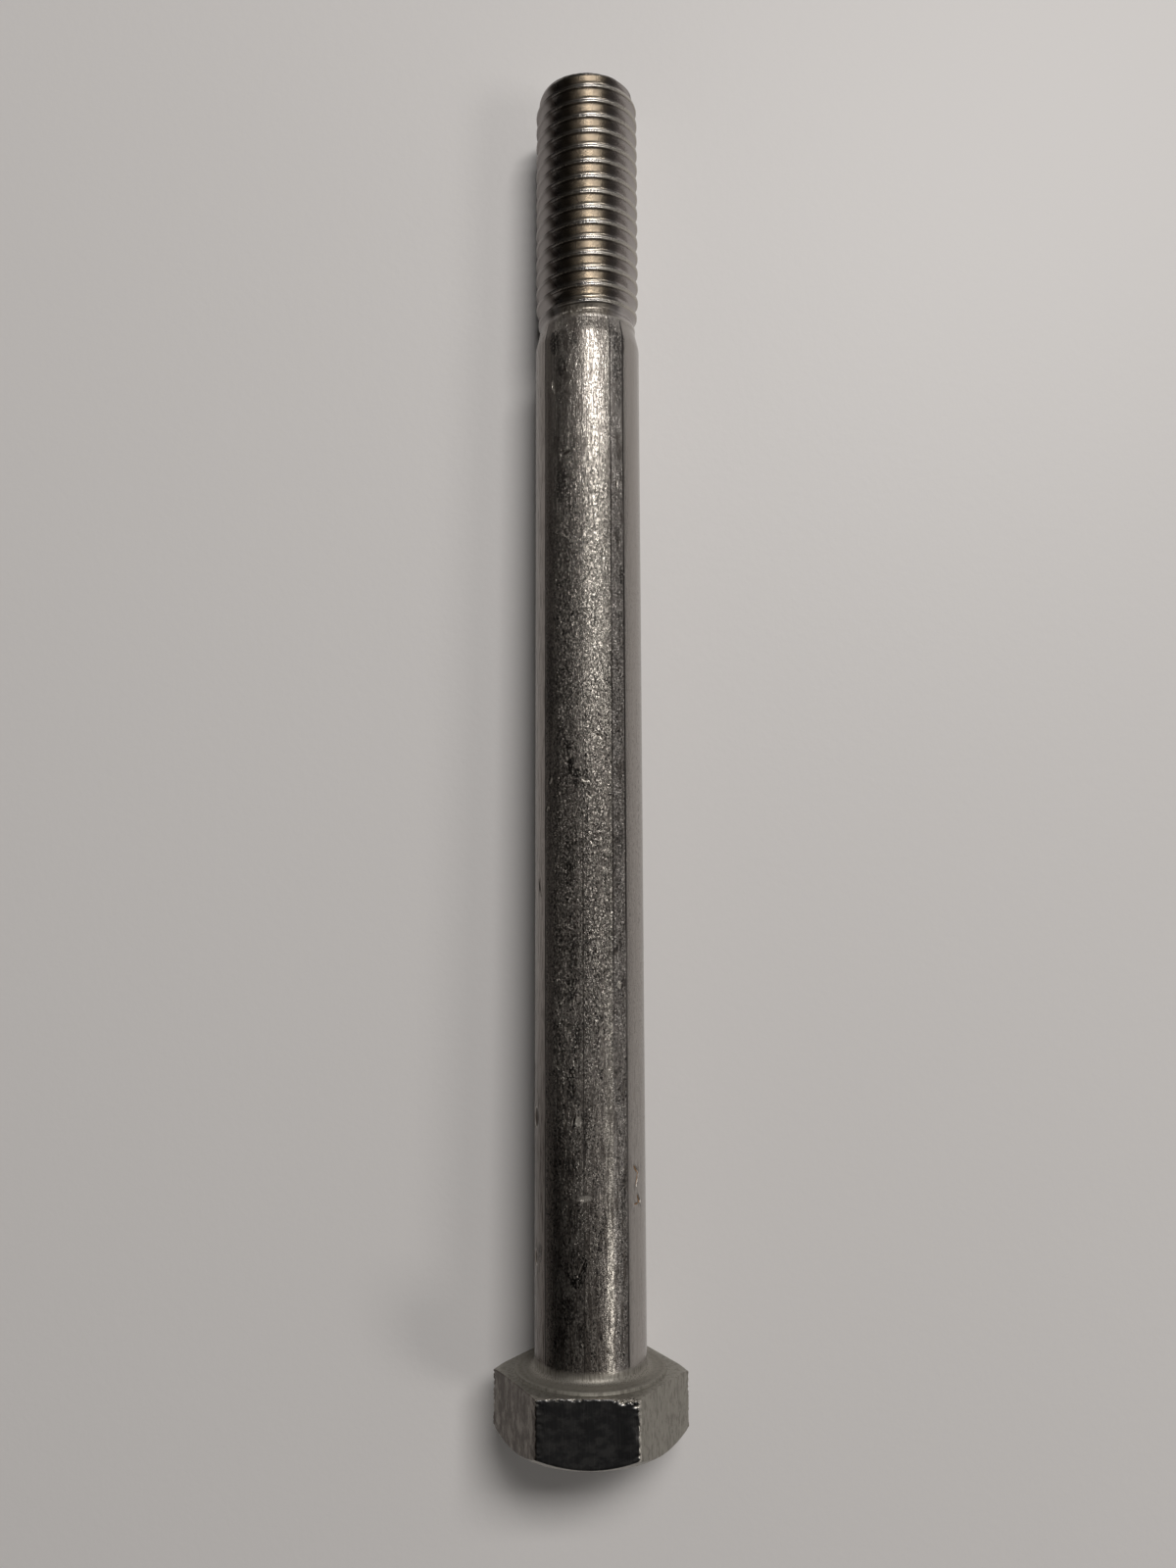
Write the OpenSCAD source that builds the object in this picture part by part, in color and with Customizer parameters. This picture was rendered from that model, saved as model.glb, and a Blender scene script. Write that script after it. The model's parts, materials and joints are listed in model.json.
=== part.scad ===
// Hex cap screw, half inch by six inches, with a washer face, a plain shank and a rolled coarse thread.
// It lies on one flat of its head and on the thread near its tip, with its tip towards +X.
// The sub-parts are drawn along +Z from the bearing face, and hex_cap_screw() lays the whole screw down.

/* [Length] */
// Length under the head, from the bearing face to the tip
under_head_l = 152.4; // [90:0.1:200]
// Length of the thread, from the tip back to the neck
thread_l = 31.2; // [20:0.1:60]
// Length of the taper between the neck and the shank
shoulder_l = 2; // [0.8:0.1:4]

/* [Shank] */
// Nominal diameter of the screw
nominal_d = 12.7; // [10.5:0.1:15.5]
// How much thinner the shank is than the nominal diameter
shank_allowance = 0.05; // [0:0.01:0.3]
// Radius of the fillet between the shank and the bearing face
fillet_r = 0.7; // [0.2:0.05:0.8]

/* [Thread] */
// Threads in one inch of length
threads_per_inch = 13; // [10:1:20]
// How much thinner the crests are than the nominal diameter
crest_allowance = 0.1; // [0:0.01:0.3]
// Length of the tip's chamfer along the screw
tip_chamfer_l = 1.9; // [0.5:0.1:3]
// How far the tip's chamfer cuts in from the crests
tip_chamfer_depth = 0.6; // [0.3:0.05:1]
// Distance from the chamfer to the last full crest on the resting side
last_crest_gap = 1.06; // [0.2:0.02:1.9]
// Turns over which the thread runs out into the neck
runout_turns = 2; // [0.5:0.25:4]
// How much thicker the neck is than the thread's pitch diameter
neck_allowance = 0.3; // [0:0.02:0.5]
// Flat faces round one turn of the thread
facets_per_turn = 36; // [24:4:60]

/* [Head] */
// Width of the head across its flats
across_flats = 19.05; // [15.8:0.05:23]
// Height of the head, from the bearing face to the drive end
head_h = 7.7; // [6.5:0.1:10]
// Rounding of the hexagon's six corners
corner_r = 0.2; // [0.1:0.05:0.6]
// Distance from the flats in to the edge of the drive end's flat circle
drive_face_inset = 0.43; // [0.2:0.01:1.5]
// Slope of the drive end's chamfer
drive_chamfer_angle = 33; // [20:1:45]
// Distance from the flats in to the edge of the washer face
washer_face_inset = 0.97; // [0.5:0.01:1.4]
// Height of the washer face over the underside of the hexagon
washer_face_h = 0.32; // [0.2:0.02:0.7]
// Rounding of the washer face's edge
washer_edge_r = 0.12; // [0.05:0.01:0.18]
// How far past the flats the underside stays level, before it slopes to the corners
underside_reach = 0.62; // [0.1:0.02:1.1]
// Slope of the underside at the corners
underside_angle = 13; // [5:1:30]

/* [Hidden] */
steel = "#8d8a84";
inch = 25.4;
round_faces = 96;
overlap = 1;

shank_r = (nominal_d - shank_allowance) / 2;
crest_r = (nominal_d - crest_allowance) / 2;

// A unified thread: 60 degree flanks, crests an eighth of the pitch wide, and a root for rolling
pitch = inch / threads_per_inch;
flank_angle = 30;
crest_w = pitch / 8;
sharp_v_h = pitch / 2 / tan(flank_angle);
thread_depth = sharp_v_h * 17 / 24;
flank_w = thread_depth * tan(flank_angle);
root_w = pitch - crest_w - 2 * flank_w;
root_r = crest_r - thread_depth;
// The neck shows the bar that the thread is rolled from, so it is near the pitch diameter
pitch_d = nominal_d - sharp_v_h * 3 / 4;
neck_r = (pitch_d + neck_allowance) / 2;
neck_z = under_head_l - thread_l;
seat_step = 0.03;
tip_face_r = crest_r - tip_chamfer_depth;
last_crest_z = under_head_l - tip_chamfer_l - last_crest_gap;

// Where one pitch of the profile turns a corner, counted from the middle of a crest
corners = [crest_w / 2, crest_w / 2 + flank_w, crest_w / 2 + flank_w + root_w, pitch - crest_w / 2];

flat_r = across_flats / 2;
drive_face_r = flat_r - drive_face_inset;
washer_face_r = flat_r - washer_face_inset;
underside_r = flat_r + underside_reach;
head_blank_r = flat_r / cos(30) + overlap;
hex_side = (across_flats - 2 * corner_r) * tan(30);
// At least half of the ring between the shank and the washer face's edge stays flat
head_fillet_r = min(fillet_r, (washer_face_r - washer_edge_r - shank_r) / 2);

// Rest: the edge of the flat at the underside and the last full crest both touch the ground
rest_tilt = atan((flat_r - crest_r) / (last_crest_z + crest_w / 2 + washer_face_h));
axis_h = flat_r * cos(rest_tilt) - washer_face_h * sin(rest_tilt);
axis_x = -((under_head_l - head_h) * cos(rest_tilt) + (tip_face_r - drive_face_r) * sin(rest_tilt)) / 2;

// Radius of the full thread, at an angle round the screw and a height along it
function turn_part(x) = x - floor(x);
function crest_distance(angle, z) =
    let (t = turn_part((z - last_crest_z) / pitch - angle / 360)) min(t, 1 - t) * pitch;
function full_thread_r(angle, z) =
    crest_r - thread_depth * max(0, min(1, (crest_distance(angle, z) - crest_w / 2) / flank_w));
// The same, faded into the neck at one end and cut by the tip's chamfer at the other
function runout(z) = min(1, (z - neck_z) / (runout_turns * pitch));
function chamfer_r(z) = tip_face_r + (under_head_l - z) * tip_chamfer_depth / tip_chamfer_l;
function thread_r(angle, z) =
    let (start_r = neck_r - seat_step)
    min(start_r + (full_thread_r(angle, z) - start_r) * runout(z), chamfer_r(z));
function on_screw(angle, r, z) = [r * cos(angle), r * sin(angle), z];

module thread() {
    first_turn = floor((neck_z - last_crest_z) / pitch) - 2;
    last_turn = ceil((under_head_l - last_crest_z) / pitch) + 1;
    // Each column runs up the screw through every corner of the profile, held between the thread's ends
    rows = (last_turn - first_turn + 1) * len(corners);
    columns = [
        for (i = [0 : facets_per_turn - 1])
            let (angle = 360 * i / facets_per_turn)
            [
                for (turn = [first_turn : last_turn], corner = corners)
                    let (z = last_crest_z + pitch * (turn + angle / 360) + corner)
                    let (held_z = max(neck_z, min(under_head_l, z)))
                    on_screw(angle, thread_r(angle, held_z), held_z)
            ]
    ];
    bottom = facets_per_turn * rows;
    top = bottom + 1;
    // One turn round, a column meets the first one again a whole pitch higher
    function at(i, j) = i < facets_per_turn ? i * rows + j : j + len(corners);
    function rows_at(i) = i < facets_per_turn - 1 ? rows : rows - len(corners);
    skin = [
        for (i = [0 : facets_per_turn - 1], j = [0 : rows_at(i) - 2])
            each [[at(i, j), at(i, j + 1), at(i + 1, j + 1)], [at(i, j), at(i + 1, j + 1), at(i + 1, j)]]
    ];
    ends = [
        for (i = [0 : facets_per_turn - 1])
            let (next = (i + 1) % facets_per_turn)
            each [[bottom, i * rows, next * rows], [top, next * rows + rows - 1, i * rows + rows - 1]]
    ];
    points = [for (column = columns) each column, [0, 0, neck_z], [0, 0, under_head_l]];
    polyhedron(points = points, faces = concat(skin, ends), convexity = 10);
}

module shank() {
    rotate_extrude($fn = round_faces) {
        polygon([
            [0, -overlap], [shank_r, -overlap], [shank_r, neck_z - shoulder_l], [neck_r, neck_z], [0, neck_z]
        ]);
        difference() {
            translate([0, -overlap]) square([shank_r + head_fillet_r, head_fillet_r + overlap]);
            translate([shank_r + head_fillet_r, head_fillet_r]) circle(head_fillet_r, $fn = round_faces);
        }
    }
}

// The hexagon with its corners rounded: three bars across the flats, and a circle in each corner
module hex_outline() {
    for (k = [0 : 2]) rotate(60 * k) square([across_flats, hex_side], center = true);
    for (k = [0 : 5]) rotate(60 * k + 30) translate([hex_side, 0]) circle(corner_r, $fn = round_faces);
}

// What the hexagon is cut from: the drive end's chamfer, the underside and the washer face
module head_profile() {
    chamfer_drop = (head_blank_r - drive_face_r) * tan(drive_chamfer_angle);
    underside_drop = (head_blank_r - underside_r) * tan(underside_angle);
    washer_edge = washer_face_r - washer_edge_r;
    polygon([
        [0, -head_h], [drive_face_r, -head_h], [head_blank_r, chamfer_drop - head_h],
        [head_blank_r, -washer_face_h - underside_drop], [underside_r, -washer_face_h],
        [washer_face_r, -washer_face_h], [washer_face_r, -washer_edge_r], [washer_edge, -washer_edge_r],
        [washer_edge, 0], [0, 0]
    ]);
    translate([washer_edge, -washer_edge_r]) circle(washer_edge_r, $fn = round_faces);
}

module head() {
    intersection() {
        translate([0, 0, -head_h]) linear_extrude(head_h) hex_outline();
        rotate_extrude($fn = round_faces) head_profile();
    }
}

module hex_cap_screw() {
    color(steel) translate([axis_x, 0, axis_h]) rotate([0, 90 + rest_tilt, 0]) {
        head();
        shank();
        thread();
    }
}

hex_cap_screw();
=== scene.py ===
import json
import math
import random

import bmesh
import bpy
from mathutils import Matrix, Vector, noise


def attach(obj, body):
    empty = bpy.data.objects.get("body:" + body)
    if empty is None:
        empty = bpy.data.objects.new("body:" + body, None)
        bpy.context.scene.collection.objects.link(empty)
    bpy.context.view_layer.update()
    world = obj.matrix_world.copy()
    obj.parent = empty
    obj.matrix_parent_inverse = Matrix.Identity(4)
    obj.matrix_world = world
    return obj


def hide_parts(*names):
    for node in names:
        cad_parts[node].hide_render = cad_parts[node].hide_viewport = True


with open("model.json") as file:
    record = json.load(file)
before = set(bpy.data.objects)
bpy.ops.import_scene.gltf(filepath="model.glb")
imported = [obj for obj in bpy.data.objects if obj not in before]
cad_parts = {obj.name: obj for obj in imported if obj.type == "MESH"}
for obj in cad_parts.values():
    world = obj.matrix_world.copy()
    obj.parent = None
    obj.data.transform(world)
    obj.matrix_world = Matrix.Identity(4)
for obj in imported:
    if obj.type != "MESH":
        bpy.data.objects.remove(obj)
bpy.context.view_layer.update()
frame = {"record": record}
print("stage: frame loaded")

# The screw is made upright, in millimetres, with its bearing face at height 0 and its tip up.
# Its own x axis ends up pointing at the ground, and its y axis stays the world's.
millimetre = 0.001
mounts = {mount["name"]: mount for mount in frame["record"]["mounts"]}
screwAxis = Vector(mounts["shank"]["axis"]).normalized()
fillet = {"radius": 0.7, "rows": 6}
shoulder = {
    "start": 119.2,
    "neck": 121.2,
    "neckRadius": 5.8655,
    # the taper's rings, with share of its length and share of its fall
    "rings": ((0, 0.03), (0.15, 0.14), (0.3, 0.29), (0.45, 0.45), (0.6, 0.61), (0.75, 0.77), (0.88, 0.9)),
}
shankMiddle = (fillet["radius"] + shoulder["start"]) / 2
bearingCentre = Vector(mounts["shank"]["pos_m"]) - screwAxis * shankMiddle * millimetre
restTilt = math.asin(-screwAxis.z)
layDown = Matrix.Translation(bearingCentre) @ Matrix.Rotation(math.pi / 2 + restTilt, 4, "Y")


def selectNothing():
    if bpy.context.object and bpy.context.object.mode != "OBJECT":
        bpy.ops.object.mode_set(mode="OBJECT")
    bpy.ops.object.select_all(action="DESELECT")


def editPoints():
    return bmesh.from_edit_mesh(bpy.context.object.data)


def selectEdges(test):
    bpy.ops.mesh.select_mode(type="EDGE")
    bpy.ops.mesh.select_all(action="DESELECT")
    edited = editPoints()
    for edge in edited.edges:
        if test(edge):
            edge.select_set(True)
    bmesh.update_edit_mesh(bpy.context.object.data)


def selectFaces(test):
    bpy.ops.mesh.select_mode(type="FACE")
    bpy.ops.mesh.select_all(action="DESELECT")
    edited = editPoints()
    for face in edited.faces:
        if test(face.calc_center_median()):
            face.select_set(True)
    bmesh.update_edit_mesh(bpy.context.object.data)


def movePoints(place, onlySelected=True):
    edited = editPoints()
    for point in edited.verts:
        if point.select or not onlySelected:
            point.co = place(point.co)
    bmesh.update_edit_mesh(bpy.context.object.data)


def addRing(place):
    bpy.ops.mesh.extrude_region_move()
    movePoints(place)


def addEvenRing(radius, height):
    # the same count of points, now spread evenly, with one of them at angle 0
    bpy.ops.mesh.extrude_region_move()
    edited = editPoints()
    ring = [point for point in edited.verts if point.select]
    ring.sort(key=lambda point: math.atan2(point.co.y, point.co.x))
    step = 2 * math.pi / len(ring)
    first = min(range(len(ring)), key=lambda k: abs(math.atan2(ring[k].co.y, ring[k].co.x)))
    for k, point in enumerate(ring):
        angle = (k - first) * step
        point.co = (radius * math.cos(angle), radius * math.sin(angle), height)
    bmesh.update_edit_mesh(bpy.context.object.data)


def scaled(point, radius, height):
    factor = radius / math.hypot(point.x, point.y)
    return (point.x * factor, point.y * factor, height)


def addRings(rings):
    for radius, height in rings:
        addRing(lambda p, radius=radius, height=height: scaled(p, radius, height))


def addSlopedRings(shares, target, heightAt):
    # each point goes a share of the way to its target radius, and stays on the slope
    for share in shares:
        def place(p, share=share):
            radius = p.xy.length
            radius += (target(radius) - radius) * share
            return scaled(p, radius, heightAt(radius))
        addRing(place)


def closeRing():
    bpy.ops.mesh.extrude_region_move()
    bpy.ops.mesh.merge(type="COLLAPSE")


# The head, the washer face and the shank are one skin of rings
headSize = {
    "acrossFlats": 19.05,
    "height": 7.7,
    "cornerRound": 0.2,
    "cornerSteps": 4,
    "flatSteps": 28,
    "driveRadius": 9.095,
    "driveSlope": 33,
    "washerRadius": 8.555,
    "washerHeight": 0.32,
    "undersideRadius": 10.145,
    "undersideSlope": 13,
    # an edge's rounding, and how far in its two rings lie as shares of that
    "edgeRound": 0.09,
    "edgeStart": 0.3,
    "edgeTuck": 0.8,
    "sideRings": (0.015, 0.035, 0.06, 0.09, 0.13, 0.19, 0.27, 0.37, 0.48, 0.6, 0.72, 0.83, 0.92, 0.97, 1),
    # the washer face's level rings, between its edge and the fillet
    "faceRings": (8.1, 7.8, 7.5, 7.25),
}
shankSize = {"radius": 6.325, "middle": 60, "rows": 68}


def undersideHeight(radius):
    beyond = max(0, radius - headSize["undersideRadius"])
    return -headSize["washerHeight"] - beyond * math.tan(math.radians(headSize["undersideSlope"]))


def driveHeight(radius):
    beyond = max(0, radius - headSize["driveRadius"])
    return -headSize["height"] + beyond * math.tan(math.radians(headSize["driveSlope"]))


def addTuckedRing(inset, heightAt, lift=0.0):
    # a ring a little way in from the outline
    factor = 1 - inset / (headSize["acrossFlats"] / 2)
    addRing(lambda p: (p.x * factor, p.y * factor, heightAt(p.xy.length * factor) + lift))


def drawHexagon():
    selectNothing()
    flat = headSize["acrossFlats"] / 2
    bpy.ops.mesh.primitive_circle_add(
        vertices=6, radius=flat / math.cos(math.radians(30)), fill_type="NGON")
    screw = bpy.context.object
    screw.name = "capScrew"
    bpy.ops.object.mode_set(mode="EDIT")
    bpy.ops.mesh.select_all(action="SELECT")
    bpy.ops.mesh.bevel(
        offset=headSize["cornerRound"] * math.tan(math.radians(30)),
        segments=headSize["cornerSteps"], affect="VERTICES")
    selectEdges(lambda edge: edge.calc_length() > 1)
    bpy.ops.mesh.subdivide(number_cuts=headSize["flatSteps"] - 1)
    bpy.ops.mesh.select_all(action="SELECT")
    bpy.ops.mesh.delete(type="ONLY_FACE")
    return screw


def growHeadSides():
    edge = headSize["edgeRound"]
    start = headSize["edgeStart"] * edge
    rounded = 1 - start / (headSize["acrossFlats"] / 2)
    bpy.ops.mesh.select_all(action="SELECT")
    movePoints(lambda p: (p.x * rounded, p.y * rounded, undersideHeight(p.xy.length) - start))

    def side(share, shrunk=1):
        def place(p):
            x, y = p.x / shrunk, p.y / shrunk
            radius = math.hypot(x, y)
            top = undersideHeight(radius) - edge
            bottom = driveHeight(radius) + edge
            return (x, y, top + (bottom - top) * share)
        return place

    addRing(side(0, rounded))
    for share in headSize["sideRings"]:
        addRing(side(share))
    addTuckedRing(start, driveHeight, start)
    addTuckedRing(headSize["edgeTuck"] * edge, driveHeight)
    # the chamfer, and the drive end's face, which is very slightly hollow
    drive, end = headSize["driveRadius"], -headSize["height"]
    addSlopedRings((0.3, 0.6, 0.9), lambda radius: drive + 0.12, driveHeight)
    addRings((
        (drive + 0.09, end + 0.062), (drive, end + 0.02), (drive - 0.12, end), (8.3, end), (7.3, end),
        (6, end + 0.01), (4.6, end + 0.03), (3.2, end + 0.05), (1.8, end + 0.06), (0.7, end + 0.06)))
    closeRing()


def growUnderside():
    selectEdges(lambda e: e.is_boundary)
    addTuckedRing(headSize["edgeTuck"] * headSize["edgeRound"], undersideHeight)
    # the slope under the corners, the level part, and the washer face's edge
    washer, base = headSize["washerRadius"], -headSize["washerHeight"]
    addSlopedRings((0.5, 1), lambda radius: min(headSize["undersideRadius"], radius - 0.05), undersideHeight)
    addSlopedRings((0.35, 0.7, 1), lambda radius: washer + 0.09, undersideHeight)
    addRings((
        (washer + 0.03, base + 0.012), (washer, base + 0.06), (washer - 0.005, -0.13),
        (washer - 0.03, -0.055), (washer - 0.08, -0.012), (washer - 0.16, 0)))
    for radius in headSize["faceRings"]:
        addEvenRing(radius, 0)
    centre = shankSize["radius"] + fillet["radius"]
    for k in range(fillet["rows"] + 1):
        turn = math.pi / 2 * k / fillet["rows"]
        addEvenRing(centre - fillet["radius"] * math.sin(turn), fillet["radius"] * (1 - math.cos(turn)))


def growShank():
    radius, neck = shankSize["radius"], shoulder["neckRadius"]
    addEvenRing(radius, shankSize["middle"])
    addEvenRing(radius, shoulder["start"] - 0.35)
    for share, drop in shoulder["rings"]:
        height = shoulder["start"] + (shoulder["neck"] - shoulder["start"]) * share
        addEvenRing(radius + (neck - radius) * drop, height)
    selectEdges(lambda edge: abs(edge.verts[0].co.z - edge.verts[1].co.z) > 50)
    bpy.ops.mesh.subdivide(number_cuts=shankSize["rows"])
    bpy.ops.object.mode_set(mode="OBJECT")


threadSize = {
    "pitch": 25.4 / 13,
    "crestRadius": 6.3,
    "steps": 80,
    "lastCrest": 149.44,
    "tip": 152.4,
    "tipRadius": 5.7,
    "tipSlope": 0.6 / 1.9,
    # the tip's edge is rounded, by each ring's scale and its height under the tip
    "tipRound": 0.12,
    "tipRings": ((0.994, 0.05), (0.98, 0.012), (0.955, 0)),
    # the tip's face is slightly hollow
    "dish": 0.12,
    "dishRadius": 4.7,
    "dishRings": (0.93, 0.9, 0.86, 0.8, 0.72, 0.6),
    # how far above the neck the crests and the grooves are fully formed
    "crestRunout": 3.9,
    "grooveRunout": 3,
    # half a pitch of the profile: distance from the crest's middle, and depth under the crest
    "profile": ((0, 0.055), (0.035, 0.018), (0.085, 0.002), (0.145, 0.012), (0.18, 0.06), (0.215, 0.161),
                (0.4, 0.481), (0.66, 0.932), (0.7, 1.001), (0.79, 1.12), (0.88, 1.178)),
    "rootDepth": 1.1986,
}


def drawProfile():
    pitch, crest = threadSize["pitch"], threadSize["crestRadius"]
    rise = threadSize["profile"]
    mirrored = [(pitch - away, depth) for away, depth in reversed(rise)]
    corners = [*rise, (pitch / 2, threadSize["rootDepth"]), *mirrored]
    selectNothing()
    bpy.ops.mesh.primitive_circle_add(vertices=3, radius=0.1, fill_type="NOTHING")
    thread = bpy.context.object
    thread.name = "thread"
    bpy.ops.object.mode_set(mode="EDIT")
    bpy.ops.mesh.select_all(action="SELECT")
    bpy.ops.mesh.merge(type="COLLAPSE")
    bpy.ops.mesh.select_mode(type="VERT")
    bpy.ops.mesh.select_all(action="SELECT")
    turns = math.ceil((threadSize["lastCrest"] - shoulder["neck"]) / pitch) + 2
    base = threadSize["lastCrest"] - turns * pitch
    movePoints(lambda p: (crest - corners[0][1], 0, base + corners[0][0]))
    for away, depth in corners[1:]:
        bpy.ops.mesh.extrude_region_move()
        movePoints(lambda p, away=away, depth=depth: (crest - depth, 0, base + away))
    bpy.ops.object.mode_set(mode="OBJECT")
    return thread, turns


def windThread(thread, turns):
    winding = thread.modifiers.new("winding", "SCREW")
    winding.axis = "Z"
    winding.angle = 2 * math.pi
    winding.screw_offset = threadSize["pitch"]
    winding.iterations = turns + 3
    winding.steps = threadSize["steps"]
    winding.render_steps = threadSize["steps"]
    bpy.context.view_layer.objects.active = thread
    bpy.ops.object.modifier_apply(modifier="winding")
    bpy.ops.object.mode_set(mode="EDIT")
    bpy.ops.mesh.select_all(action="SELECT")
    bpy.ops.mesh.remove_doubles(threshold=0.002)
    for height, outer in ((threadSize["tip"], True), (shoulder["neck"], False)):
        bpy.ops.mesh.select_all(action="SELECT")
        bpy.ops.mesh.bisect(
            plane_co=(0, 0, height), plane_no=(0, 0, 1), clear_outer=outer, clear_inner=not outer)

    def fade(p):
        # the run-out at the neck, and the chamfer at the tip
        neck = shoulder["neckRadius"]
        proud = math.hypot(p.x, p.y) - neck
        length = threadSize["crestRunout"] if proud > 0 else threadSize["grooveRunout"]
        grown = min(1, max(0, (p.z - shoulder["neck"]) / length))
        grown = grown * grown * (3 - 2 * grown) * 0.5 + grown * 0.5
        radius = neck + proud * grown
        cut = threadSize["tipRadius"] + (threadSize["tip"] - p.z) * threadSize["tipSlope"]
        return scaled(p, min(radius, cut), p.z)

    movePoints(fade, onlySelected=False)


def closeTip():
    tip = threadSize["tip"]
    selectEdges(lambda e: e.is_boundary and min(e.verts[0].co.z, e.verts[1].co.z) > tip - 0.01)
    movePoints(lambda p: (p.x, p.y, tip - threadSize["tipRound"]))
    for factor, drop in threadSize["tipRings"]:
        addRing(lambda p, factor=factor, drop=drop: (p.x * factor, p.y * factor, tip - drop))

    dish = threadSize["dish"]
    for factor in threadSize["dishRings"]:
        def dished(p, factor=factor):
            share = p.xy.length * factor / threadSize["dishRadius"]
            return (p.x * factor, p.y * factor, tip - dish * max(0, 1 - share * share))
        addRing(dished)
    closeRing()
    movePoints(lambda p: (0, 0, tip - dish))
    bpy.ops.object.mode_set(mode="OBJECT")


def joinThread(screw, thread):
    selectNothing()
    thread.select_set(True)
    screw.select_set(True)
    bpy.context.view_layer.objects.active = screw
    bpy.ops.object.join()
    bpy.ops.object.mode_set(mode="EDIT")
    selectEdges(lambda e: e.is_boundary)
    bpy.ops.mesh.bridge_edge_loops()
    bpy.ops.mesh.select_all(action="SELECT")
    bpy.ops.mesh.normals_make_consistent(inside=False)
    bpy.ops.object.mode_set(mode="OBJECT")


# Marks on the shank: mm from the bearing face, degrees from the top towards -y, length, width, depth, turn
shankMarks = {
    # faces are refined out to this many times a mark's half size, plus a margin in mm
    "refine": 3,
    "reach": 1.2,
    "margin": 0.4,
    # the raised rim: its height as a share of the depth, its place, width and end, and the most it stands up
    "rim": 0.45,
    "rimPlace": 1.15,
    "rimWidth": 0.22,
    "rimEnd": 1.8,
    "proudest": 0.03,
    "dents": (
        (104.3, -21.3, 2, 0.7, 0.13, 69), (70.6, 13.1, 2.2, 0.36, 0.12, -68),
        (69.8, 13.4, 1.3, 0.3, 0.1, -61), (78.4, -26.4, 1.4, 0.46, 0.13, 84),
        (75.2, 9.3, 0.9, 0.26, 0.06, -71), (80.6, 9.4, 0.8, 0.26, 0.06, 68),
        (67.6, -20, 1.5, 0.55, 0.13, -67), (63.8, 2.3, 1.2, 0.42, 0.12, -43),
        (62.5, -46.1, 1, 0.32, 0.09, 58), (37.9, -21.8, 2.6, 0.27, 0.12, -65),
        (27.7, -9.4, 1.3, 0.6, 0.05, 49), (27.7, -14.2, 1.5, 0.38, 0.14, 17),
        (32.7, -17.3, 1.1, 0.45, 0.14, -34), (30.8, -13.9, 1, 0.45, 0.13, 39),
        (12, -6.1, 3.2, 0.5, 0.15, 24), (11.2, -9, 1.4, 0.6, 0.06, -50), (19.5, -3, 2.1, 0.8, 0.05, 77),
        (22.1, 55.8, 1.9, 0.42, 0.2, -41), (21.1, 58.2, 2.8, 0.4, 0.18, 18),
        (18.7, 61.1, 2.2, 0.42, 0.2, -28), (18.4, 58.4, 1.8, 0.36, 0.18, 81),
        (45, 8.7, 0.9, 0.26, 0.06, -86), (42.6, 32.1, 1, 0.32, 0.07, 30), (100.7, 34.6, 1.6, 0.5, 0.11, -2),
        (89.9, 41.5, 1, 0.36, 0.13, -65), (96.7, 2.3, 1.2, 0.3, 0.08, -36),
        (92.2, 9.4, 1.1, 0.3, 0.06, -54), (3.3, 18.9, 0.8, 0.5, 0.14, -45), (4.1, -5.6, 0.5, 0.4, 0.1, 0),
        (27.5, -72.5, 2.8, 2.4, 0.32, 12), (26.3, -84, 2, 1.6, 0.2, -35), (12.2, -72, 2.2, 1.4, 0.2, -20),
        (53.5, -61.2, 2.4, 0.35, 0.09, -14), (112.8, -38, 2.2, 0.4, 0.08, -10),
        (33.4, -31, 0.8, 0.5, 0.07, -30), (7.2, -24, 1.7, 0.3, 0.11, 22), (115.2, -8, 1.4, 0.32, 0.08, 28),
    ),
    # smaller ones all round, scattered in an order that never changes
    "scattered": 28,
    "seed": 41,
    "places": (2, 117),
    "lengths": (0.5, 1.4),
    # width as a share of the length, and depth as a share of the width
    "widths": (0.25, 0.6),
    "depths": (0.05, 0.12),
    "turns": (-80, 80),
}


def scatterDents():
    scatter = random.Random(shankMarks["seed"])
    for _ in range(shankMarks["scattered"]):
        along = scatter.uniform(*shankMarks["places"])
        turned = scatter.uniform(-180, 180)
        length = scatter.uniform(*shankMarks["lengths"])
        width = length * scatter.uniform(*shankMarks["widths"])
        depth = width * scatter.uniform(*shankMarks["depths"])
        yield along, turned, length, width, depth, scatter.uniform(*shankMarks["turns"])


def markDistance(point, mark):
    # 0 in the middle of a mark, 1 at its edge
    along, turned, length, width, depth, turn = mark
    rise = point.z - along
    if abs(rise) > length:
        return math.inf
    angle = math.atan2(-point.y, -point.x) - math.radians(turned)
    angle = (angle + math.pi) % (2 * math.pi) - math.pi
    across = angle * shankSize["radius"]
    turn = math.radians(turn)
    down = rise * math.cos(turn) + across * math.sin(turn)
    over = across * math.cos(turn) - rise * math.sin(turn)
    return math.hypot(down / (length / 2), over / (width / 2))


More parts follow.
